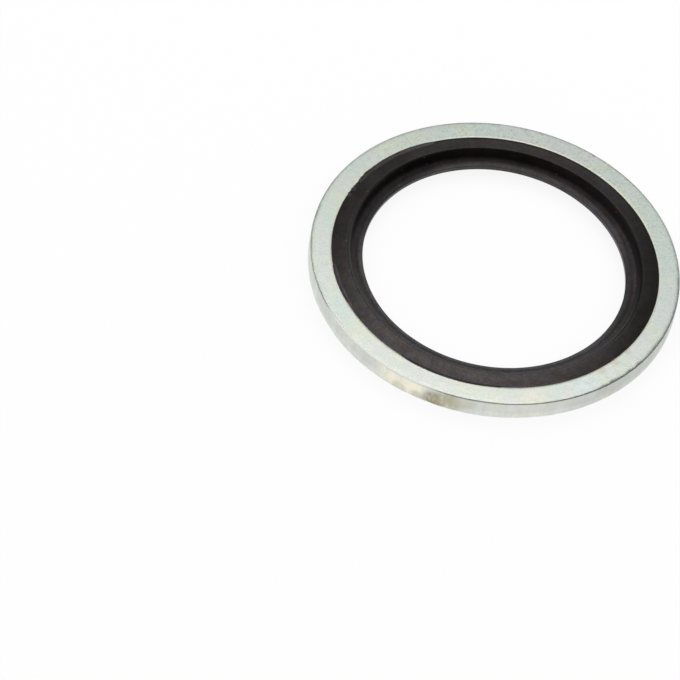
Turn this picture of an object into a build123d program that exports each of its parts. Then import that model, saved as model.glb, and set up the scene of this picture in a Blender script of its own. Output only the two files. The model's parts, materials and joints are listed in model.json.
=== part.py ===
from build123d import *
import os

# Bonded sealing washer: a flat zinc-plated steel ring with a nitrile rubber seal that is moulded
# and vulcanised onto its bore. Sizes are in millimetres and angles in degrees.
#
# The washer's axis is Z. It lies flat, as it rests on a table, on the crest of its lower rubber
# lip, and the origin is on the axis at the level of that crest.

# --- driving dimensions ---

# the screw that passes through the washer
thread_diameter = 18.0
thread_clearance = 0.5  # on the diameter, so the seal slips over the thread

# steel ring, stamped from strip
ring_thickness = 1.5
ring_width = 1.5  # radial, from the bonded bore to the rim
rim_chamfer = 0.1  # both outer edges, broken by tumbling
bore_chamfer = 0.04  # both bore edges

# rubber seal, the same above and below the mid-plane
seal_width = 2.25  # radial, from the seal's own bore to the steel
seal_land = 0.2  # height of the plain wall at the seal's bore
lip_from_bore = 1.18  # radial, from the seal's bore to the middle of the crest
lip_rise = 0.12  # the crest stands this far proud of the steel face
crest_width = 0.16  # flat of the crest, before its inner corner is rounded
crest_radius = 0.1

# --- places that follow from them ---

seal_bore_radius = (thread_diameter + thread_clearance) / 2
ring_bore_radius = seal_bore_radius + seal_width
ring_outer_radius = ring_bore_radius + ring_width
ring_half_thickness = ring_thickness / 2
half_height = ring_half_thickness + lip_rise  # from the mid-plane to either crest
bond_half_height = ring_half_thickness - bore_chamfer  # the rubber fills the bore to its chamfer
crest_circle_radius = seal_bore_radius + lip_from_bore

# Sections are drawn on a radial plane: x runs out from the axis, y up from the mid-plane.
section_plane = Plane(origin=(0, 0, half_height), x_dir=(1, 0, 0), z_dir=(0, -1, 0))

# --- steel ring ---

with BuildPart() as steel_ring:
    with BuildSketch(Plane.XY.offset(half_height)):
        Circle(ring_outer_radius)
        Circle(ring_bore_radius, mode=Mode.SUBTRACT)
    extrude(amount=ring_half_thickness, both=True)
    circles = steel_ring.edges().filter_by(GeomType.CIRCLE).group_by(SortBy.RADIUS)
    chamfer(circles[-1], length=rim_chamfer)
    chamfer(circles[0], length=bore_chamfer)

# --- rubber seal ---

# From the steel the upper outline climbs a straight shoulder to the crest of the lip. Inside the
# crest it falls into a cove, one arc that levels out at the thin web's edge, round the bore.
with BuildPart() as rubber_seal:
    with BuildSketch(section_plane) as seal_section:
        with BuildLine():
            bond_edge = (ring_bore_radius, bond_half_height)
            crest_outside = (crest_circle_radius + crest_width / 2, half_height)
            crest_inside = (crest_circle_radius - crest_width / 2, half_height)
            land_edge = (seal_bore_radius, seal_land / 2)

            shoulder_and_crest = Polyline(bond_edge, crest_outside, crest_inside)
            cove = TangentArc(land_edge, crest_inside, tangent=(1, 0))
            mirror(about=Plane.XZ)
            Line(bond_edge, (ring_bore_radius, -bond_half_height))
            Line(land_edge, (seal_bore_radius, -seal_land / 2))
        make_face()
        by_height = seal_section.vertices().group_by(Axis.Y)
        inner_corners = [corners.sort_by(Axis.X)[0] for corners in (by_height[0], by_height[-1])]
        fillet(inner_corners, radius=crest_radius)
    revolve(axis=Axis.Z)

# --- files ---

steel_ring.part.label = "steel_ring"
rubber_seal.part.label = "rubber_seal"

os.makedirs("parts", exist_ok=True)
export_step(steel_ring.part, "parts/steel_ring.step")
export_step(rubber_seal.part, "parts/rubber_seal.step")

for piece in (steel_ring.part, rubber_seal.part):
    size = piece.bounding_box().size
    print(f"{piece.label}: {size.X:.2f} x {size.Y:.2f} x {size.Z:.2f} mm, {piece.volume:.1f} mm3")
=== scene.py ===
# %% [markdown]
# # A bonded sealing washer
#
# The washer is two materials joined for good: a flat steel ring, stamped from strip and zinc
# plated, and a rubber seal that is moulded and vulcanised onto its bore. A screw passes through
# the middle, and when it is tightened the two raised rubber lips are squeezed level with the
# steel.
#
# This lesson dresses the two CAD solids. Both are bodies of revolution, so both are made the same
# way: draw half of the section, round its corners, and turn it about the washer's axis. What makes
# them look real comes after that: the small unevenness that stamping and moulding leave, and the
# finish of the zinc and of the rubber.

# %% Load the frame
import json
import math

import bmesh
import bpy
from mathutils import Matrix, Quaternion, Vector, noise


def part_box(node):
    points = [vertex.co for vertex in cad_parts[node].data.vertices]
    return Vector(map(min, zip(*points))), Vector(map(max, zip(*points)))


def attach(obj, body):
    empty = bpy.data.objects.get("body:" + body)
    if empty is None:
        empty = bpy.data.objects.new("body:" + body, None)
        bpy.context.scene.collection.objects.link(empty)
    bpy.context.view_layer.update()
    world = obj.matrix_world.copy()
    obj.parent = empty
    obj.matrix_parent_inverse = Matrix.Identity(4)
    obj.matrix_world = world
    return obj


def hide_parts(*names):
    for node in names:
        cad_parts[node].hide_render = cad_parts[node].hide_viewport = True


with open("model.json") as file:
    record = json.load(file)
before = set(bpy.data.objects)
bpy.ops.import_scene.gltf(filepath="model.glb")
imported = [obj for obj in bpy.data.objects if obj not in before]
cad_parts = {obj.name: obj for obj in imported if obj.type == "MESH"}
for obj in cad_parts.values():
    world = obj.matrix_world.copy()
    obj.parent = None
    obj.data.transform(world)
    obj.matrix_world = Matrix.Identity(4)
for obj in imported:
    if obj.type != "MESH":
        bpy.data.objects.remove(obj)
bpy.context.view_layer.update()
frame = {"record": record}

scene = bpy.context.scene
MM = 0.001

# %% [markdown]
# ## Sizes
#
# Everything that the CAD model can tell is read from it: the ring's outside and thickness, the
# bore of the steel, the height of the rubber lips and the bore that the screw passes through. What
# is left is the form of the corners and of the lip. Those few sizes are named here, in
# millimetres.

# %% Sizes from the frame
ring_low, ring_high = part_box("steel_ring")
seal_low, seal_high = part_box("rubber_seal")
bore = next(m for m in frame["record"]["mounts"] if m["name"] == "bore")

ring_outer = ring_high.x / MM
ring_bore = seal_high.x / MM
ring_top = ring_high.z / MM
ring_bottom = ring_low.z / MM
seal_bore = bore["dims"]["r_mm"]
seal_land = bore["dims"]["length_mm"]
seal_top = seal_high.z / MM
mid_height = seal_top / 2
print(f"steel {ring_bore:.2f} to {ring_outer:.2f} mm radius, rubber from {seal_bore:.2f} mm")

# %% Sizes of the corners and of the lip
RIM_RADIUS = 0.09  # both outer edges of the steel
BORE_ROLL = 0.025  # both bore edges of the steel
BOND_DEPTH = 0.06  # the rubber meets the bore of the steel this far below its face
SHOULDER_RISE = 0.03  # the middle of the shoulder stands this far above the steel
SHOULDER_FROM_BOND = 0.48  # from the bond to that middle
SHOULDER_RADIUS = 8.0  # so large that the shoulder looks straight
LIP_FROM_BORE = 1.18  # from the seal's own bore to the middle of the crest
CREST_WIDTH = 0.05  # flat of the crest, before its corners are rounded
CREST_RADIUS = 0.09  # inner corner of the crest
CREST_OUTER_RADIUS = 0.22  # outer corner of the crest
EDGE_CURL = 0.035  # the thin web curls up this much towards its bore
EDGE_WIDTH = 0.6  # how wide the curled part of the web is

lip_circle = seal_bore + LIP_FROM_BORE
print(f"the crest of the lip runs on a circle of {2 * lip_circle:.2f} mm")

# %% [markdown]
# ## From a section to a ring
#
# A turned shape in Blender starts as a closed loop of a few vertices in the XZ plane. Bevelling a
# vertex rounds that corner of the section, and it is far easier to do here, on a dozen vertices,
# than on the finished ring. `subdivide_edges` then cuts the long straight edges, so that the ring
# gets even faces that can carry small dents.
#
# `spin` could turn the loop through the full circle, but it slows down as the mesh grows. So only
# an eighth is spun, and that arc is copied and turned three times over, which doubles it to a
# quarter, a half and the whole ring. `remove_doubles` closes the seams.


# %% Outline of a section
def corner_cut(radius, before, corner, after):
    """How far along both edges a corner is cut so that an arc of this radius fits it."""
    first = (before - corner).normalized()
    second = (after - corner).normalized()
    return radius / math.tan(first.angle(second) / 2)


def section_loop(corners, longest_edge):
    """A bmesh holding the closed outline of a section, in metres.

    Each corner is (radius, height, rounding, segments), in millimetres.
    """
    bm = bmesh.new()
    places = [Vector((r, 0.0, z)) * MM for r, z, *_ in corners]
    face = bm.faces.new([bm.verts.new(p) for p in places])
    to_round = []
    for i, vert in enumerate(face.verts):
        rounding, segments = corners[i][2:]
        if rounding:
            before, after = places[i - 1], places[(i + 1) % len(places)]
            cut = corner_cut(rounding * MM, before, places[i], after)
            to_round.append((vert, cut, segments))
    for vert, cut, segments in to_round:
        bmesh.ops.bevel(
            bm, geom=[vert], offset=cut, offset_type="OFFSET", segments=segments,
            profile=0.5, affect="VERTICES", material=-1,
        )
    bmesh.ops.delete(bm, geom=bm.faces[:], context="FACES_ONLY")
    for edge in bm.edges[:]:
        cuts = math.ceil(edge.calc_length() / (longest_edge * MM)) - 1
        if cuts > 0:
            bmesh.ops.subdivide_edges(bm, edges=[edge], cuts=cuts)
    return bm


# %% From outline to ring
TURNS = 960  # faces round the washer, each less than a tenth of a millimetre long
SEAM = 1e-7  # in metres; vertices nearer than this are one
SHARP = math.radians(40)  # an edge that bends more than this stays crisp


def turn_to_ring(bm):
    """Turns the outline into a closed ring: an eighth is spun, then doubled three times."""
    eighth = math.tau / 8
    bmesh.ops.spin(
        bm, geom=bm.verts[:] + bm.edges[:], cent=(0, 0, 0), axis=(0, 0, 1),
        dvec=(0, 0, 0), angle=eighth, steps=TURNS // 8, use_merge=False,
    )
    for turned in (1, 2, 4):  # eighths that are there already
        copy = bmesh.ops.duplicate(bm, geom=bm.verts[:] + bm.edges[:] + bm.faces[:])["geom"]
        verts = [g for g in copy if isinstance(g, bmesh.types.BMVert)]
        turn = Matrix.Rotation(turned * eighth, 3, "Z")
        bmesh.ops.rotate(bm, verts=verts, cent=(0, 0, 0), matrix=turn)
    bmesh.ops.remove_doubles(bm, verts=bm.verts[:], dist=SEAM)
    bmesh.ops.recalc_face_normals(bm, faces=bm.faces[:])


def finish_piece(bm, name, node, material):
    """Makes the object, stands it in for its CAD node and lets it ride on the washer's body."""
    for face in bm.faces:
        face.smooth = True
    for edge in bm.edges:
        edge.smooth = edge.calc_face_angle(0.0) < SHARP
    mesh = bpy.data.meshes.new(name)
    bm.to_mesh(mesh)
    bm.free()
    mesh.materials.append(material)
    piece = bpy.data.objects.new(name, mesh)
    scene.collection.objects.link(piece)
    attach(piece, "root")
    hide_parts(node)
    print(f"{name}: {len(mesh.vertices)} vertices, {len(mesh.polygons)} faces")


# %% [markdown]
# ## Unevenness
#
# A perfect ring looks like a computer's ring. On the real one no edge is quite even, so each piece
# gets a small, smooth push of its vertices after it is turned. The push comes from Blender's
# `noise`, read at the vertex itself, which needs no random numbers and meets itself where the ring
# closes.


# %% Smooth noise and pushes
LAYER_GAP = 17.3  # noise read this far apart has nothing in common


def ramp(value, start, end):
    """0 before start, 1 after end, and a smooth rise between them."""
    t = min(max((value - start) / (end - start), 0.0), 1.0)
    return t * t * (3 - 2 * t)


def wave_round(angle, radius, size, layer=0.0):
    """Noise that runs round a circle, -1 to 1, with features of this size in millimetres."""
    spot = Vector((math.cos(angle), math.sin(angle), 0)) * radius / size
    return noise.noise(spot + Vector((0, 0, LAYER_GAP * layer)))


def turn_of(co):
    """The direction of a place from the axis, in radians."""
    return math.atan2(co.y, co.x)


def push(vert, outward, upward):
    """Moves a vertex outward from the axis and upward, in millimetres."""
    radius = math.hypot(vert.co.x, vert.co.y)
    stretch = 1 + outward * MM / radius
    vert.co = Vector((vert.co.x * stretch, vert.co.y * stretch, vert.co.z + upward * MM))


# %% [markdown]
# ## Zinc plate
#
# Zinc plate with a clear passivation is a pale metal with a faint cast that drifts between
# blue-green, straw and grey in soft patches a few millimetres wide. Over the patches lie a fine
# mottle, where the steel under the zinc is a little rougher, and fine dark pores. The metal is
# satin, so its roughness drifts too, and a shallow bump breaks up the reflection of the lamp.
#
# Everything reads Object coordinates, turned into millimetres, so each size below is a real one.


# %% Helpers for shader nodes
def shader(name):
    """A new material with its node tree and its shader."""
    material = bpy.data.materials.new(name)
    material.use_nodes = True
    return material, material.node_tree, material.node_tree.nodes["Principled BSDF"]


def add(tree, kind, *inputs, **settings):
    """Adds a node, sets its properties, and fills its inputs in order with values or outputs."""
    node = tree.nodes.new("ShaderNode" + kind)
    for name, value in settings.items():
        setattr(node, name, value)
    sockets = [s for s in node.inputs if s.enabled]
    for socket, value in zip(sockets, inputs):
        if isinstance(value, bpy.types.NodeSocket):
            tree.links.new(value, socket)
        elif value is not None:
            socket.default_value = value
    return next(s for s in node.outputs if s.enabled)


def maths(tree, operation, *values):
    return add(tree, "Math", *values, operation=operation)


def product(tree, first, *others):
    """Masks multiplied, so that only what lies in all of them is left."""
    for other in others:
        first = maths(tree, "MULTIPLY", first, other)
    return first


def between(tree, value, start, end, low=0.0, high=1.0):
    """Maps start..end smoothly to low..high, and holds the ends."""
    return add(
        tree, "MapRange", value, start, end, low, high, interpolation_type="SMOOTHSTEP"
    )


# %% Helpers for colours
WHITE = (1.0, 1.0, 1.0)


def mix(tree, factor, first, second, blend="MIX"):
    """Mixes two colours."""
    node = tree.nodes.new("ShaderNodeMix")
    node.data_type = "RGBA"
    node.blend_type = blend
    for name, value in (("Factor_Float", factor), ("A_Color", first), ("B_Color", second)):
        socket = next(s for s in node.inputs if s.identifier == name)
        if isinstance(value, bpy.types.NodeSocket):
            tree.links.new(value, socket)
        elif name == "Factor_Float":
            socket.default_value = value
        else:
            socket.default_value = (*value[:3], 1)
    return next(s for s in node.outputs if s.identifier == "Result_Color")


def toned(tree, colour, *tones):
    """Multiplies a colour by tones, which are grey levels or tints."""
    for tone in tones:
        colour = mix(tree, 1.0, colour, tone, "MULTIPLY")
    return colour


# %% Helpers for places
def moved(tree, place, offset):
    return add(tree, "VectorMath", place, offset, operation="ADD")


def stretched(tree, place, factors):
    return add(tree, "VectorMath", place, factors, operation="MULTIPLY")


def place_in_mm(tree):
    coordinates = tree.nodes.new("ShaderNodeTexCoord").outputs["Object"]
    return stretched(tree, coordinates, (1 / MM,) * 3)


def axis_parts(tree, place):
    """The radius from the washer's axis, the height, and the direction from it."""
    flat = stretched(tree, place, (1.0, 1.0, 0.0))
    radius = tree.nodes.new("ShaderNodeVectorMath")
    radius.operation = "LENGTH"
    tree.links.new(flat, radius.inputs[0])
    split = tree.nodes.new("ShaderNodeSeparateXYZ")
    tree.links.new(place, split.inputs[0])
    direction = add(tree, "VectorMath", flat, operation="NORMALIZE")
    return radius.outputs["Value"], split.outputs["Z"], direction


def toward(tree, place, direction, start, end, low=0.0, high=1.0):
    """A mask that goes from low to high along a direction, from start to end on it."""
    far = tree.nodes.new("ShaderNodeVectorMath")
    far.operation = "DOT_PRODUCT"
    tree.links.new(place, far.inputs[0])
    far.inputs[1].default_value = direction
    return between(tree, far.outputs["Value"], start, end, low, high)


# %% Helpers for noise
NOISE_LOW, NOISE_HIGH = 0.30, 0.70  # nearly all of a cloud lies between these


def cloud(tree, place, scale, detail=2.0, rough=0.5):
    """Noise of about 0.5 on average; scale is in features per millimetre."""
    return add(tree, "TexNoise", place, scale, detail, rough, noise_dimensions="3D")


def drifting(tree, value, low, high):
    """Spreads a cloud over low to high."""
    return between(tree, value, NOISE_LOW, NOISE_HIGH, low, high)


def halved(tree, value):
    """Splits a cloud into 0 and 1, about half and half, with a soft border."""
    return between(tree, value, 0.38, 0.62)


# %% Cast of the zinc
zinc, zinc_tree, zinc_shader = shader("zinc_plate")
zinc_place = place_in_mm(zinc_tree)
zinc_radius, zinc_height, _ = axis_parts(zinc_tree, zinc_place)

COOL_ZINC = (0.638, 0.705, 0.655)
STRAW_ZINC = (0.680, 0.715, 0.618)
GREY_ZINC = (0.678, 0.700, 0.668)
PATCHES = 0.42  # per millimetre
drift = cloud(zinc_tree, zinc_place, PATCHES, 2.0, 0.45)
second_drift = cloud(zinc_tree, moved(zinc_tree, zinc_place, (31.0, 7.0, 3.0)), 0.55, 2.0, 0.5)
plate = mix(zinc_tree, halved(zinc_tree, drift), COOL_ZINC, STRAW_ZINC)
plate = mix(zinc_tree, between(zinc_tree, second_drift, 0.48, 0.66), plate, GREY_ZINC)
print(f"patches of zinc are about {1 / PATCHES:.1f} mm wide")

# %% Mottle, grain and pores
GRAINS = 7.5  # per millimetre
toward_back = toward(zinc_tree, zinc_place, (0.26, 0.97, 0.0), -4.0, 14.0)
mottle = cloud(zinc_tree, zinc_place, 1.9, 3.0, 0.6)
grain = cloud(zinc_tree, zinc_place, GRAINS, 3.0, 0.7)
mottle_tone = drifting(zinc_tree, mottle, 0.92, 1.07)
grain_tone = drifting(zinc_tree, grain, 0.935, 1.065)
pores = between(zinc_tree, cloud(zinc_tree, zinc_place, 5.0, 2.0, 0.7), 0.54, 0.66)
# Real pores, but their depth grows towards the back, and that growth paints shade on the back.
pore_depth = maths(zinc_tree, "MULTIPLY_ADD", toward_back, 0.15, 0.06)
pore_tone = maths(zinc_tree, "MULTIPLY_ADD", product(zinc_tree, pores, pore_depth), -1.0, 1.0)
plate = toned(zinc_tree, plate, mottle_tone, grain_tone, pore_tone)
print(f"grain of the zinc is {1 / GRAINS:.2f} mm")

# %% [markdown]
# The passivation also leaves small coloured clouds, and a part that has lain in a box has a stain
# or two, such as the brown one where cleaner crept out of the bond. One bluish-white spot at the
# front right is no stain but a painted reflection. A spot is the distance from a place, made soft,
# and the grain breaks it up so that it doesn't look sprayed on.

# %% Tints of the top
RESIDUE_WIDTH = 0.22
residue = between(zinc_tree, zinc_radius, ring_bore + 0.03, ring_bore + RESIDUE_WIDTH)
residue_tint = mix(zinc_tree, residue, (0.95, 0.90, 0.83), WHITE)
near_side = toward(zinc_tree, zinc_place, (0.0, 1.0, 0.0), -12.0, -3.0)
warmth = mix(zinc_tree, near_side, (1.02, 1.0, 1.0), (0.975, 1.0, 1.0))
blush = cloud(zinc_tree, moved(zinc_tree, zinc_place, (3.0, 19.0, 11.0)), 1.5, 2.0, 0.5)
blush_tint = mix(zinc_tree, halved(zinc_tree, blush), (0.985, 1.0, 0.995), (1.015, 1.0, 1.0))
plate = toned(zinc_tree, plate, warmth, blush_tint, residue_tint)
print("residue tints the steel up to", RESIDUE_WIDTH, "mm from the bond")

# %% Stains and a painted reflection on the top
TOP_STAINS_AND_PAINTED_REFLECTION = (  # place and size in millimetres, and colour
    ((10.20, -5.70, 1.6), 0.45, (0.58, 0.51, 0.42)),
    ((9.45, -6.80, 1.6), 0.60, (0.60, 0.52, 0.42)),
    ((8.70, -7.90, 1.6), 0.50, (0.56, 0.51, 0.42)),
    # painted reflection: a bluish-white patch of light, no stain
    ((7.86, -9.64, 1.6), 1.30, (0.67, 0.74, 0.76)),
    ((4.54, -11.15, 1.6), 1.30, (0.74, 0.72, 0.62)),
    ((7.66, 8.81, 1.6), 0.32, (0.66, 0.62, 0.36)),
)


def round_spot(tree, colour, place, spot, size, spot_colour, amount, core):
    """Mixes a round spot into a colour, for stains and for painted reflections; outside its core, a
    share of its size, it fades.
    """
    far = tree.nodes.new("ShaderNodeVectorMath")
    far.operation = "DISTANCE"
    tree.links.new(place, far.inputs[0])
    far.inputs[1].default_value = spot
    near = between(tree, far.outputs["Value"], size * core, size, 1.0, 0.0)
    return mix(tree, product(tree, near, amount), colour, spot_colour)


grain_gaps = between(zinc_tree, grain, 0.3, 0.6, 0.15, 0.6)
for spot, size, colour in TOP_STAINS_AND_PAINTED_REFLECTION:
    plate = round_spot(zinc_tree, plate, zinc_place, spot, size, colour, grain_gaps, 0.2)
print(len(TOP_STAINS_AND_PAINTED_REFLECTION), "stains on the top")

# %% [markdown]
# The wall was sheared by the press. Its upper part was burnished by the die and its lower part
# broke away, so faint upright streaks run down it and the break shows as a slightly uneven band.
# The streaks are a cloud that is stretched upright. Near the front the wall carries a painted
# reflection of a neighbouring washer, cream in one place and brown next to it, darker at its foot,
# and the right side is painted a little darker, as painted shade.

# %% Sheared wall
BREAK_LOW, BREAK_RANGE = 0.30, 0.50  # lowest place of the break, and how far it wanders up
upright = stretched(zinc_tree, zinc_place, (1.0, 1.0, 0.30))
streaks = cloud(zinc_tree, upright, 1.7, 4.0, 0.6)
streak_tone = between(zinc_tree, streaks, 0.32, 0.68, 0.93, 1.05)
wander = cloud(zinc_tree, zinc_place, 0.7, 2.0)
break_height = maths(zinc_tree, "MULTIPLY_ADD", wander, BREAK_RANGE, ring_bottom + BREAK_LOW)
above_break = maths(zinc_tree, "SUBTRACT", zinc_height, break_height)
break_tone = between(zinc_tree, above_break, -0.06, 0.10, 1.06, 0.97)
# painted shade: the right of the wall is darker
right_painted_shade = toward(zinc_tree, zinc_place, (0.94, -0.34, 0.0), 9.0, 12.6, 1.0, 0.84)
wall = mix(zinc_tree, 0.6, plate, (0.700, 0.705, 0.670))
wall = toned(zinc_tree, wall, streak_tone, break_tone, right_painted_shade)
print(f"the wall broke about {BREAK_LOW + BREAK_RANGE / 2:.2f} mm above its foot")

# %% Painted reflection on the wall
# all painted reflection of a neighbouring washer, with darker spots at its foot
WALL_PAINTED_REFLECTIONS = (  # place and size in millimetres, colour and strength
    ((-4.9, -12.0, 1.15), 1.9, (0.93, 0.89, 0.72), 0.9),
    ((-3.6, -12.5, 1.15), 1.3, (0.93, 0.90, 0.74), 0.9),
    ((-4.6, -12.15, 0.35), 0.75, (0.56, 0.53, 0.42), 0.7),
    ((-3.3, -12.57, 0.40), 0.65, (0.56, 0.53, 0.42), 0.7),
    ((-2.1, -12.83, 0.6), 1.1, (0.30, 0.265, 0.16), 0.95),
    ((-1.1, -12.95, 0.9), 1.3, (0.42, 0.41, 0.27), 0.85),
    ((-0.1, -13.0, 1.2), 1.0, (0.56, 0.56, 0.46), 0.7),
)
tall = stretched(zinc_tree, zinc_place, (1.0, 1.0, 0.5))
blotch = between(zinc_tree, cloud(zinc_tree, tall, 1.4, 5.0, 0.68), 0.24, 0.58)
for spot, size, colour, strength in WALL_PAINTED_REFLECTIONS:
    blotched = product(zinc_tree, blotch, strength)
    wall = round_spot(zinc_tree, wall, zinc_place, spot, size, colour, blotched, 0.4)
on_wall = between(zinc_tree, zinc_radius, ring_outer - 0.10, ring_outer - 0.02)
plate = mix(zinc_tree, on_wall, plate, wall)
print(len(WALL_PAINTED_REFLECTIONS), "stains on the wall")

# %% [markdown]
# The rounded edges mirror the dark above the washer, which draws a thin dark line between the top
# and the wall. At the back the edge is painted lighter, a painted highlight. At the near left it is
# painted almost white, a painted highlight that is mostly no metal, so the edge is as matt as chalk
# there, and the dark line is gone.

# %% Painted highlights on the edges
half_thickness = ring_top - mid_height
from_middle = maths(zinc_tree, "ABSOLUTE", maths(zinc_tree, "SUBTRACT", zinc_height, mid_height))


def on_edge(start, full_out, full_up):
    """A mask of the rounded outer edges; the three distances are from their sharp corner."""
    out = between(zinc_tree, zinc_radius, ring_outer - start, ring_outer - full_out)
    up = between(zinc_tree, from_middle, half_thickness - start, half_thickness - full_up)
    return product(zinc_tree, out, up)


at_back = between(zinc_tree, toward_back, 0.45, 0.8)
# painted highlight: the edge at the back is painted lighter
back_edge_painted_highlight = product(zinc_tree, on_edge(0.09, 0.05, 0.04), at_back)
plate = mix(zinc_tree, back_edge_painted_highlight, plate, (0.90, 0.905, 0.88))
near_left = toward(zinc_tree, zinc_place, (-0.53, -0.848, 0.0), 11.6, 12.5)
# painted highlight: the edge at the near left is painted almost white
near_left_painted_highlight = product(zinc_tree, on_edge(0.14, 0.08, 0.08), near_left)
plate = mix(zinc_tree, near_left_painted_highlight, plate, (0.97, 0.965, 0.92))
print(f"the edges start {half_thickness - RIM_RADIUS:.2f} mm above and below the middle")

# %% Shine of the zinc
ZINC_RELIEF = 4e-6  # in metres


def bumped(tree, height, depth):
    """A normal that follows this height; depth is in metres."""
    bump = tree.nodes.new("ShaderNodeBump")
    bump.inputs["Strength"].default_value = 1.0
    bump.inputs["Distance"].default_value = depth
    tree.links.new(height, bump.inputs["Height"])
    return bump.outputs["Normal"]


# the painted highlight at the near left is mostly no metal, and rougher
metallic_off_highlight = maths(zinc_tree, "MULTIPLY_ADD", near_left_painted_highlight, -0.85, 1.0)
satin_zinc = drifting(zinc_tree, mottle, 0.30, 0.38)
satin_zinc = maths(zinc_tree, "MULTIPLY_ADD", near_left_painted_highlight, 0.30, satin_zinc)
zinc_relief = maths(zinc_tree, "MULTIPLY_ADD", grain, 0.35, mottle)
zinc_tree.links.new(plate, zinc_shader.inputs["Base Color"])
zinc_tree.links.new(metallic_off_highlight, zinc_shader.inputs["Metallic"])
zinc_tree.links.new(satin_zinc, zinc_shader.inputs["Roughness"])
zinc_tree.links.new(bumped(zinc_tree, zinc_relief, ZINC_RELIEF), zinc_shader.inputs["Normal"])
print(f"zinc plate: {len(zinc_tree.nodes)} nodes")

# %% [markdown]
# ## The steel ring
#
# The ring is blanked from strip, so its section is a rectangle. The outer edges are rounded by the
# press and by tumbling, more in some places than in others, and one stretch of the upper edge has
# been knocked. The bore edges roll over a little towards the rubber.
#
# A bevel modifier could round the edges too. Rounding the section first gives the same arc with far
# less work, and keeps the faces in even rings that can be pushed about afterwards.

# %% Turn the steel ring
ring_bm = section_loop(
    [
        (ring_bore, ring_bottom, BORE_ROLL, 3),
        (ring_outer, ring_bottom, RIM_RADIUS, 6),
        (ring_outer, ring_top, RIM_RADIUS, 6),
        (ring_bore, ring_top, BORE_ROLL, 3),
    ],
    longest_edge=0.15,
)
turn_to_ring(ring_bm)
print(f"steel ring: {len(ring_bm.faces)} faces")

# %% Wear of the ring's edges
RIM_WEAR = 0.032  # how deep the wear of the outer edges goes
RIM_REACH = 0.24  # how far from the sharp corner it reaches
SLANT = 0.7  # share of the push that goes each way, about the cosine of 45 degrees
LONG_WAVE, SHORT_WAVE, DENTS = 2.2, 0.5, 0.35  # sizes of the unevenness
BRUISE_TURN = -38.0  # where the knocked stretch is, in degrees round the washer

for vert in ring_bm.verts:
    radius = vert.co.to_2d().length / MM
    height = vert.co.z / MM
    rim_height = ring_top if height > mid_height else ring_bottom
    from_rim = math.hypot(radius - ring_outer, height - rim_height)
    angle = turn_of(vert.co)
    worn = 0.5 + 0.5 * wave_round(angle, ring_outer, LONG_WAVE, rim_height)
    worn += 0.35 * wave_round(angle, ring_outer, SHORT_WAVE, rim_height)
    if height > mid_height:
        off = abs(math.degrees(angle) - BRUISE_TURN)
        worn += ramp(off, 11, 5) * (0.8 + 1.4 * wave_round(angle, ring_outer, DENTS))
        worn *= 1 - 0.85 * ramp(vert.co.y / MM, -1.0, 7.0)  # the back is hardly worn
    depth = RIM_WEAR * max(worn, 0.0) * ramp(from_rim, RIM_REACH, 0.03)
    inward = 1 if height < mid_height else -1
    push(vert, -depth * SLANT, inward * depth * SLANT)
finish_piece(ring_bm, "zinc_plated_ring", "steel_ring", zinc)

# %% [markdown]
# ## Rubber
#
# Moulded nitrile rubber is black with a trace of brown, and satin. It copies the mould, which was
# turned on a lathe, so the finest marks on it run round the washer. A noise read with the direction
# from the axis and a much magnified radius gives such marks with no seam.
#
# On black rubber nearly all that the eye sees is reflection. So most of the variation goes into the
# tint of that reflection: the haze of dust, larger patches and the marks of the mould. The base
# colour alone would hardly show them.

# %% Skin of the rubber
rubber, rubber_tree, rubber_shader = shader("black_rubber")
rubber_place = place_in_mm(rubber_tree)
rubber_radius, _, rubber_turn = axis_parts(rubber_tree, rubber_place)

DEEP_RUBBER = (0.0070, 0.0048, 0.0042)
DUSTY_RUBBER = (0.0115, 0.0088, 0.0084)
BLOOMS = 0.8  # per millimetre
bloom = cloud(rubber_tree, rubber_place, BLOOMS, 3.0, 0.55)
skin = mix(rubber_tree, between(rubber_tree, bloom, 0.35, 0.7), DEEP_RUBBER, DUSTY_RUBBER)
print(f"the bloom on the rubber is {1 / BLOOMS:.2f} mm wide")

# %% Marks of the mould, dust and patches
MARKS = 9.0  # per millimetre outwards
MARKS_ROUND = 7.0  # per radian, so each mark is far longer than it is wide

outwards = maths(rubber_tree, "MULTIPLY", rubber_radius, MARKS)
mark_place = moved(
    rubber_tree,
    stretched(rubber_tree, rubber_turn, (MARKS_ROUND,) * 3),
    add(rubber_tree, "CombineXYZ", 0.0, 0.0, outwards),
)
marks = cloud(rubber_tree, mark_place, 1.0, 2.0, 0.6)
fine = cloud(rubber_tree, rubber_place, 9.0, 3.0, 0.6)
dust = cloud(rubber_tree, rubber_place, 6.0, 3.0, 0.65)
patches = cloud(rubber_tree, rubber_place, 1.7, 2.0, 0.5)
print(f"marks of the mould are about {1 / MARKS:.2f} mm apart")

# %% [markdown]
# The steep wall of the cove is painted much darker than the rest, in its colour and in its
# reflection: painted shade. A few light flecks are the peaks of a noise, cut off high.
#
# The reflection of the rubber is painted lighter or darker by places, as painted light and shade:
# darker on the lip at both sides, on the web towards the back and the sides, and in the cove at
# three places, lighter on the web at the front, at the foot of the cove at both sides towards the
# back, and on the shoulder at the near left. Washers lie on each other in the box, so the inner
# corner of the crest is scuffed matt on the right. Each such place is a band of radii, times a mask
# that changes along a direction across the washer, so one table holds them all.

# %% Painted shade in the cove
into_cove = between(rubber_tree, rubber_radius, seal_bore + 0.50, seal_bore + 0.90)
out_of_cove = between(rubber_tree, rubber_radius, lip_circle - 0.045, lip_circle + 0.015, 1.0, 0.0)
steep_cove = product(rubber_tree, into_cove, out_of_cove)
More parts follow.
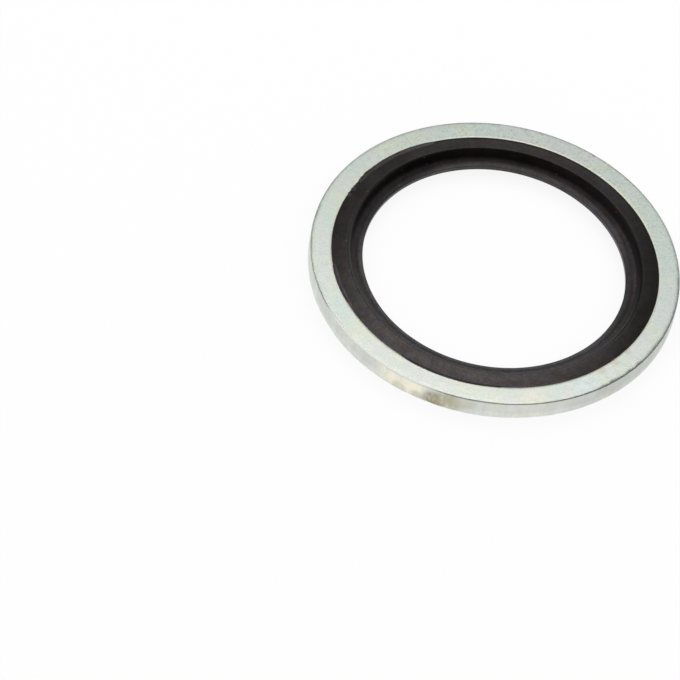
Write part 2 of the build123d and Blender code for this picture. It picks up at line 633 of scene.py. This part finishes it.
# painted shade: the steep wall of the cove is darker in colour and in reflection
cove_shade = between(rubber_tree, steep_cove, 0.0, 1.0, 1.0, 0.20)
skin = toned(rubber_tree, skin, cove_shade)
print(f"dull from {seal_bore + 0.9:.2f} to {lip_circle:.2f} mm from the axis")

# %% Flecks
FLECK_PEAK = 0.80  # a fleck shows only where the noise is higher than this
fleck_noise = cloud(rubber_tree, moved(rubber_tree, rubber_place, (2.0, 9.0, 4.0)), 3.2, 0.0)
flecks = between(rubber_tree, fleck_noise, FLECK_PEAK, FLECK_PEAK + 0.06, 0.0, 0.8)
skin = mix(rubber_tree, flecks, skin, (0.055, 0.050, 0.042))
print("flecks are the peaks above", FLECK_PEAK)


# %% Bands of the rubber
def band(circle, start, full, fading, end):
    """Four radii round a circle: where a band starts, is full, fades and ends."""
    return [circle + step for step in (start, full, fading, end)]


WEB = band(seal_bore, -0.10, -0.05, 0.32, 0.68)
OUTER_WEB = band(seal_bore, 0.20, 0.28, 0.47, 0.60)
COVE_FOOT = band(seal_bore, 0.33, 0.45, 0.73, 0.83)
COVE = band(lip_circle, -0.80, -0.45, -0.10, 0.10)
BROWN_COVE = band(lip_circle, -0.80, -0.45, 0.02, 0.15)
CREST_CORNER = band(lip_circle, -0.24, -0.16, -0.11, -0.03)
past_bond = (ring_bore + 0.30, ring_bore + 0.40)
LIP = [lip_circle - 0.40, lip_circle - 0.10, *past_bond]
SHOULDER = [lip_circle, lip_circle + 0.15, *past_bond]


def in_band(start, full, fading, end):
    """A mask of the radius, 1 between full and fading."""
    rise = between(rubber_tree, rubber_radius, start, full)
    fall = between(rubber_tree, rubber_radius, fading, end, 1.0, 0.0)
    return product(rubber_tree, rise, fall)


print(f"the web fades {WEB[-1]:.2f} mm from the axis, and the cove {COVE[-1]:.2f} mm")

# %% Painted light and shade of the reflection
# painted light and shade of the reflection, by side across the washer
PAINTED_LIGHT_PLACES = (  # band, direction across the washer, distances along it, and the change between them
    (WEB, (0.0, 1.0, 0.0), (-9.0, 9.0), (0.15, -0.18)),
    (WEB, (-0.906, 0.423, 0.0), (7.6, 9.4), (0.0, -0.55)),
    (WEB, (1.0, 0.0, 0.0), (8.0, 9.4), (0.0, -0.45)),
    (OUTER_WEB, (0.0, 1.0, 0.0), (5.0, 8.5), (0.0, -0.22)),
    (COVE_FOOT, (0.94, 0.34, 0.0), (8.6, 9.6), (0.0, 0.35)),
    (COVE_FOOT, (-0.966, 0.259, 0.0), (8.9, 9.7), (0.0, 0.25)),
    (COVE, (0.906, -0.423, 0.0), (8.6, 10.0), (0.0, -0.40)),
    (COVE, (-0.80, -0.60, 0.0), (7.4, 9.7), (0.0, -0.38)),
    (COVE, (-0.342, 0.94, 0.0), (7.5, 9.5), (0.0, -0.35)),
    (LIP, (0.998, 0.06, 0.0), (7.5, 11.2), (0.0, -0.60)),
    (LIP, (-0.97, 0.24, 0.0), (7.5, 10.5), (0.0, -0.38)),
    (SHOULDER, (-0.82, -0.57, 0.0), (9.3, 10.8), (0.0, 0.18)),
)
painted_light_tone = 1.0
for radii, direction, distances, changes in PAINTED_LIGHT_PLACES:
    change = toward(rubber_tree, rubber_place, direction, *distances, *changes)
    painted_light_tone = maths(rubber_tree, "MULTIPLY_ADD", in_band(*radii), change, painted_light_tone)
print(len(PAINTED_LIGHT_PLACES), "places are rubbed or dusty")

# %% Tint of the reflection
BROWN_GLINT = (0.99, 0.852, 0.790)
VIOLET_GLINT = (0.905, 0.852, 0.915)
hue = cloud(rubber_tree, moved(rubber_tree, rubber_place, (5.0, 0.0, 2.0)), 1.1, 2.0, 0.5)
glint = mix(rubber_tree, halved(rubber_tree, hue), BROWN_GLINT, VIOLET_GLINT)
off_web = between(rubber_tree, rubber_radius, seal_bore + 0.5, seal_bore + 0.9)
web_tint = mix(rubber_tree, off_web, (0.962, 1.0, 1.058), WHITE)
back_half = toward(rubber_tree, rubber_place, (0.3, 0.95, 0.0), -8.0, 1.0)
browned = product(rubber_tree, in_band(*BROWN_COVE), back_half)
cove_tint = mix(rubber_tree, browned, WHITE, (1.17, 1.0, 1.02))
dust_tone = drifting(rubber_tree, dust, 0.78, 1.22)
patch_tone = drifting(rubber_tree, patches, 0.85, 1.15)
mark_tone = drifting(rubber_tree, marks, 0.93, 1.07)
glint = toned(
    rubber_tree, glint,
    web_tint, cove_tint, cove_shade, dust_tone, patch_tone, mark_tone, painted_light_tone,
)
print("the reflection drifts from", BROWN_GLINT, "to", VIOLET_GLINT)

# %% Shine of the rubber
RUBBER_RELIEF = 2.5e-6  # in metres
on_shoulder = between(rubber_tree, rubber_radius, lip_circle - 0.05, lip_circle + 0.15)
satin_rubber = drifting(rubber_tree, bloom, 0.31, 0.35)
satin_rubber = maths(rubber_tree, "MULTIPLY_ADD", on_shoulder, -0.03, satin_rubber)
scuffed = toward(rubber_tree, rubber_place, (0.95, -0.30, 0.0), 5.5, 8.5, 0.0, 0.32)
satin_rubber = maths(
    rubber_tree, "MULTIPLY_ADD", in_band(*CREST_CORNER), scuffed, satin_rubber
)
rubber_relief = bumped(
    rubber_tree, maths(rubber_tree, "MULTIPLY_ADD", marks, 0.5, fine), RUBBER_RELIEF
)
rubber_shader.inputs["IOR"].default_value = 1.63
rubber_tree.links.new(skin, rubber_shader.inputs["Base Color"])
rubber_tree.links.new(glint, rubber_shader.inputs["Specular Tint"])
rubber_tree.links.new(satin_rubber, rubber_shader.inputs["Roughness"])
rubber_tree.links.new(rubber_relief, rubber_shader.inputs["Normal"])
print(f"rubber: {len(rubber_tree.nodes)} nodes")

# %% [markdown]
# ## The rubber seal
#
# The seal is the same above and below the middle of the washer. From just below the edge of the
# steel its outline climbs an almost straight shoulder to the crest of the lip, and then falls into
# a cove that levels out in a thin web round the bore. The cove is one arc, so its two hidden corner
# lines are the level one at the bore and the steep one under the crest. Only the upper half is
# written down, and the lower half is its mirror image.


# %% Section of the seal
def seal_section():
    """The corners of the whole section: radius, height, rounding and segments."""
    bond_height = ring_top - BOND_DEPTH
    land_height = mid_height + seal_land / 2
    crest_out = lip_circle + CREST_WIDTH / 2
    crest_in = lip_circle - CREST_WIDTH / 2
    fall = seal_top - land_height
    steepness = 2 * math.atan2(fall, crest_in - seal_bore)
    under_crest = crest_in - fall / math.tan(steepness)
    crest_cut = CREST_RADIUS * math.tan(steepness / 2)
    room = under_crest - seal_bore - 1.1 * crest_cut  # the two roundings must not touch
    cove_radius = room / math.tan(steepness / 2)
    print(f"cove of {cove_radius:.2f} mm radius, {math.degrees(steepness):.0f} degrees steep")
    upper = [
        (ring_bore, bond_height, 0, 0),
        (ring_bore - 0.02, bond_height + 0.003, 0, 0),
        (ring_bore - SHOULDER_FROM_BOND, ring_top + SHOULDER_RISE, SHOULDER_RADIUS, 8),
        (crest_out, seal_top, CREST_OUTER_RADIUS, 2),
        (crest_in, seal_top, CREST_RADIUS, 7),
        (under_crest, land_height, cove_radius, 12),
        (seal_bore, land_height, 0, 0),
    ]
    lower = [(r, 2 * mid_height - z, rounding, n) for r, z, rounding, n in reversed(upper)]
    return upper + lower


# %% [markdown]
# Rubber is never as even as the mould. After the section is turned, the upper and lower faces sag a
# few thousandths of a millimetre in places, and the web curls up a little at its bore, where the
# flash of the mould was trimmed off.
#
# Along a few stretches the mould did not close so well on the steel. There a film of rubber, up to
# a tenth of a millimetre wide, has crept out over the edge of the bore. The widest one breaks off
# in small teeth.

# %% Film of rubber
FILMS = (  # start, full, fading and end, in degrees round the washer, and reach in millimetres
    (118, 134, 152.5, 155.5, 0.09),
    (196, 203, 212, 219, 0.045),
    (243, 250, 266, 288, 0.075),
)
TEETH_TURN = 157.5  # where the teeth are, in degrees


def film_reach(angle):
    """How far the rubber has crept out over the steel, in millimetres."""
    turn = math.degrees(angle) % 360
    reach = 0.0
    for start, full, fading, end, widest in FILMS:
        reach += widest * ramp(turn, start, full) * ramp(turn, end, fading)
    reach *= 1 + 0.3 * wave_round(angle, ring_bore, 0.25)
    teeth = max(0.0, 0.015 + 0.10 * wave_round(angle, ring_bore, 0.22, 1))
    return reach + teeth * ramp(abs(turn - TEETH_TURN), 9, 4)


print(len(FILMS), "films, the widest of", max(film[-1] for film in FILMS), "mm")

# %% Turn the seal
seal_bm = section_loop(seal_section(), longest_edge=0.13)
turn_to_ring(seal_bm)
print(f"rubber seal: {len(seal_bm.faces)} faces")

# %% Unevenness of the seal
FILM_RISE = 0.004  # the film lies this far above the steel
FILM_ROOT = 0.028  # it crosses the rolled edge of the bore first, which takes this much
SAG = 0.004  # the faces sag by up to twice this

for vert in seal_bm.verts:
    radius = vert.co.to_2d().length / MM
    height = vert.co.z / MM - mid_height
    angle = turn_of(vert.co)
    side = 1 if height > 0 else -1
    if radius > ring_bore - 0.03 and abs(height) > half_thickness - BOND_DEPTH - 0.001:
        reach = film_reach(angle if side > 0 else -angle)
        lift = ramp(reach, 0.0, 0.02)
        push(vert, 0, side * lift * (BOND_DEPTH + FILM_RISE))
        if radius > ring_bore - 0.01:
            push(vert, reach + FILM_ROOT * lift, 0)
    elif radius < ring_bore - 0.06:
        if radius < seal_bore + EDGE_WIDTH:
            push(vert, 0, side * EDGE_CURL * ramp(radius - seal_bore, EDGE_WIDTH, 0.0))
        sag = SAG * (1 + wave_round(angle, radius, 1.6, side)) * ramp(abs(height), 0.3, 0.8)
        push(vert, SAG * (1 + wave_round(angle, radius, 2.4, 3)), -side * sag)
finish_piece(seal_bm, "moulded_rubber_seal", "rubber_seal", rubber)

# %% [markdown]
# ## Camera
#
# The washer is seen from about 48 degrees above the floor, through a long lens, so it hardly
# narrows towards the back. A lens can be shifted sideways to move the washer in the image, but a
# camera held by hand is simply turned. So the camera first aims at the washer, rolls, and is
# then turned until the washer falls right of the middle of the image.

# %% Camera
IMAGE_SIZE = 680  # in pixels; the image is square
FOCAL_PIXELS = 4600  # focal length, in widths of a pixel
CAMERA_DISTANCE = 320.68  # in millimetres
CAMERA_ELEVATION = 48.02  # in degrees
CAMERA_ROLL = 12.342  # in degrees
SENSOR = 36.0  # width, in millimetres
WASHER_PIXEL = (494.16, 266.75)  # where the middle of the washer falls


def place_camera():
    """Aims at the middle of the washer, rolls, and turns it to its place in the image."""
    camera = bpy.data.objects.new("camera", bpy.data.cameras.new("camera"))
    scene.collection.objects.link(camera)
    scene.camera = camera
    camera.data.sensor_width = SENSOR
    camera.data.lens = SENSOR * FOCAL_PIXELS / IMAGE_SIZE
    camera.data.clip_start = 0.01
    camera.data.clip_end = 10.0
    elevation = math.radians(CAMERA_ELEVATION)
    target = Vector((0, 0, mid_height * MM))
    back = Vector((0, -math.cos(elevation), math.sin(elevation)))
    camera.location = target + back * CAMERA_DISTANCE * MM
    half = IMAGE_SIZE / 2
    ray = Vector((WASHER_PIXEL[0] - half, half - WASHER_PIXEL[1], -FOCAL_PIXELS))
    aim = (-back).to_track_quat("-Z", "Y")
    roll = Quaternion((0, 0, 1), math.radians(CAMERA_ROLL))
    shift = Vector((0, 0, -1)).rotation_difference(ray)
    camera.rotation_mode = "QUATERNION"
    camera.rotation_quaternion = aim @ roll @ shift.inverted()
    return camera


camera = place_camera()
print(f"camera with a {camera.data.lens:.0f} mm lens at", [round(c, 3) for c in camera.location])

# %% [markdown]
# ## Floor and background
#
# A washer is shown on white paper. Paint alone would need so much light to look white that the
# washer would be overlit. So the paper is painted dark and glows by itself, but only for rays that
# come from the camera or from a shiny or clear surface. Shaded places of the dark paint still
# lose light, and that is the washer's shadow. The sky behind works the same way: white where it is
# seen, a little dimmer where it lights.


# %% Background by ray
def seen_by_eye_or_mirror(tree):
    """1 for camera, glossy and transmission rays, 0 for the rays that light the scene."""
    path = tree.nodes.new("ShaderNodeLightPath")
    output = path.outputs["Is Camera Ray"]
    for name in ("Is Glossy Ray", "Is Transmission Ray"):
        output = maths(tree, "MAXIMUM", output, path.outputs[name])
    return output


# %% Sky
WORLD_SEEN = 1.0  # white
WORLD_LIGHT = 0.85
world = bpy.data.worlds.new("studio")
scene.world = world
world.use_nodes = True
sky_tree = world.node_tree
sky = sky_tree.nodes["Background"]
sky.inputs["Color"].default_value = (*WHITE, 1)
sky_strength = add(
    sky_tree, "MapRange", seen_by_eye_or_mirror(sky_tree), 0.0, 1.0, WORLD_LIGHT, WORLD_SEEN
)
sky_tree.links.new(sky_strength, sky.inputs["Strength"])
print(f"the sky shows as {WORLD_SEEN} and lights as {WORLD_LIGHT}")

# %% Floor
FLOOR_PAINT = 0.12
FLOOR_GLOW = 0.88  # paint and glow together come to white
FLOOR_SIZE = 3.0  # in metres
floor_bm = bmesh.new()
bmesh.ops.create_grid(floor_bm, x_segments=1, y_segments=1, size=FLOOR_SIZE / 2)
floor_mesh = bpy.data.meshes.new("floor")
floor_bm.to_mesh(floor_mesh)
floor_bm.free()
floor = bpy.data.objects.new("floor", floor_mesh)
scene.collection.objects.link(floor)

floor_paint, floor_tree, floor_shader = shader("pale_floor")
floor_shader.inputs["Base Color"].default_value = (FLOOR_PAINT,) * 3 + (1,)
floor_shader.inputs["Roughness"].default_value = 1.0
floor_shader.inputs["Specular IOR Level"].default_value = 0.0
floor_shader.inputs["Emission Color"].default_value = (*WHITE, 1)
glow = product(floor_tree, seen_by_eye_or_mirror(floor_tree), FLOOR_GLOW)
floor_tree.links.new(glow, floor_shader.inputs["Emission Strength"])
floor_mesh.materials.append(floor_paint)
print(f"floor {FLOOR_SIZE:.0f} m across, paint {FLOOR_PAINT}, glow {FLOOR_GLOW}")

# %% [markdown]
# ## Light
#
# Shiny things are lit by what they mirror. One soft lamp stands behind the washer and just above
# the place that its flat face mirrors, so the steel is bright and darkens a little towards the
# back. The rest of what it mirrors is a box of large cards, one to a side, each of its own grey:
# the front and the left are mid grey, the right is dark, and the back is split, dark above and
# light below. The cards are seen in mirrors only, so they neither block light nor cast shadows.


# %% Soft lamp
def soft_lamp(name, place, size, radiance):
    """A rectangular lamp, aimed at the washer; a face of radiance 1 shows as white."""
    lamp = bpy.data.lights.new(name, "AREA")
    lamp.shape = "RECTANGLE"
    lamp.size, lamp.size_y = size
    lamp.energy = radiance * math.pi * size[0] * size[1]
    holder = bpy.data.objects.new(name, lamp)
    scene.collection.objects.link(holder)
    holder.location = place
    holder.rotation_mode = "QUATERNION"
    holder.rotation_quaternion = (-Vector(place)).to_track_quat("-Z", "Y")
    holder.visible_camera = False
    return lamp


softbox = soft_lamp("softbox", place=(-0.005, 0.100, 0.192), size=(0.098, 0.130), radiance=1.57)
print(f"a lamp of {softbox.energy:.3f} W")


# %% Cards
def card(name, low, high, shade):
    """A card that only reflections see, from one corner to the opposite one."""
    low, high = Vector(low), Vector(high)
    bm = bmesh.new()
    bmesh.ops.create_cube(bm, size=1.0)
    bmesh.ops.scale(bm, verts=bm.verts[:], vec=high - low)
    bmesh.ops.translate(bm, verts=bm.verts[:], vec=(low + high) / 2)
    mesh = bpy.data.meshes.new(name)
    bm.to_mesh(mesh)
    bm.free()
    piece = bpy.data.objects.new(name, mesh)
    scene.collection.objects.link(piece)
    for ray in ("camera", "diffuse", "transmission", "volume_scatter", "shadow"):
        setattr(piece, "visible_" + ray, False)
    paint, _, card_shader = shader(name)
    card_shader.inputs["Base Color"].default_value = (0, 0, 0, 1)
    card_shader.inputs["Specular IOR Level"].default_value = 0.0
    card_shader.inputs["Emission Color"].default_value = (shade,) * 3 + (1,)
    card_shader.inputs["Emission Strength"].default_value = 1.0
    mesh.materials.append(paint)


CARDS = {  # two opposite corners, in metres, and the shade of grey
    "card_front": ((-0.5, -0.52, 0.01), (0.5, -0.5, 0.5), 0.50),
    "card_left": ((-0.52, -0.5, 0.01), (-0.50, 0.5, 0.5), 0.56),
    "card_right": ((0.50, -0.5, 0.01), (0.52, 0.5, 0.5), 0.13),
    "card_top": ((-0.5, -0.5, 0.5), (0.5, 0.5, 0.52), 0.22),
    "card_back_high": ((-0.5, 0.5, 0.20), (0.5, 0.52, 0.5), 0.23),
    "card_back_low": ((-0.5, 0.5, 0.01), (0.5, 0.52, 0.20), 0.70),
}
for name, (low, high, shade) in CARDS.items():
    card(name, low, high, shade)
print(len(CARDS), "cards stand round the washer")

# %% [markdown]
# ## Finish
#
# Last, the view transform is set to Standard, so the colours show plainly.

# %% View transform
scene.view_settings.view_transform = "Standard"
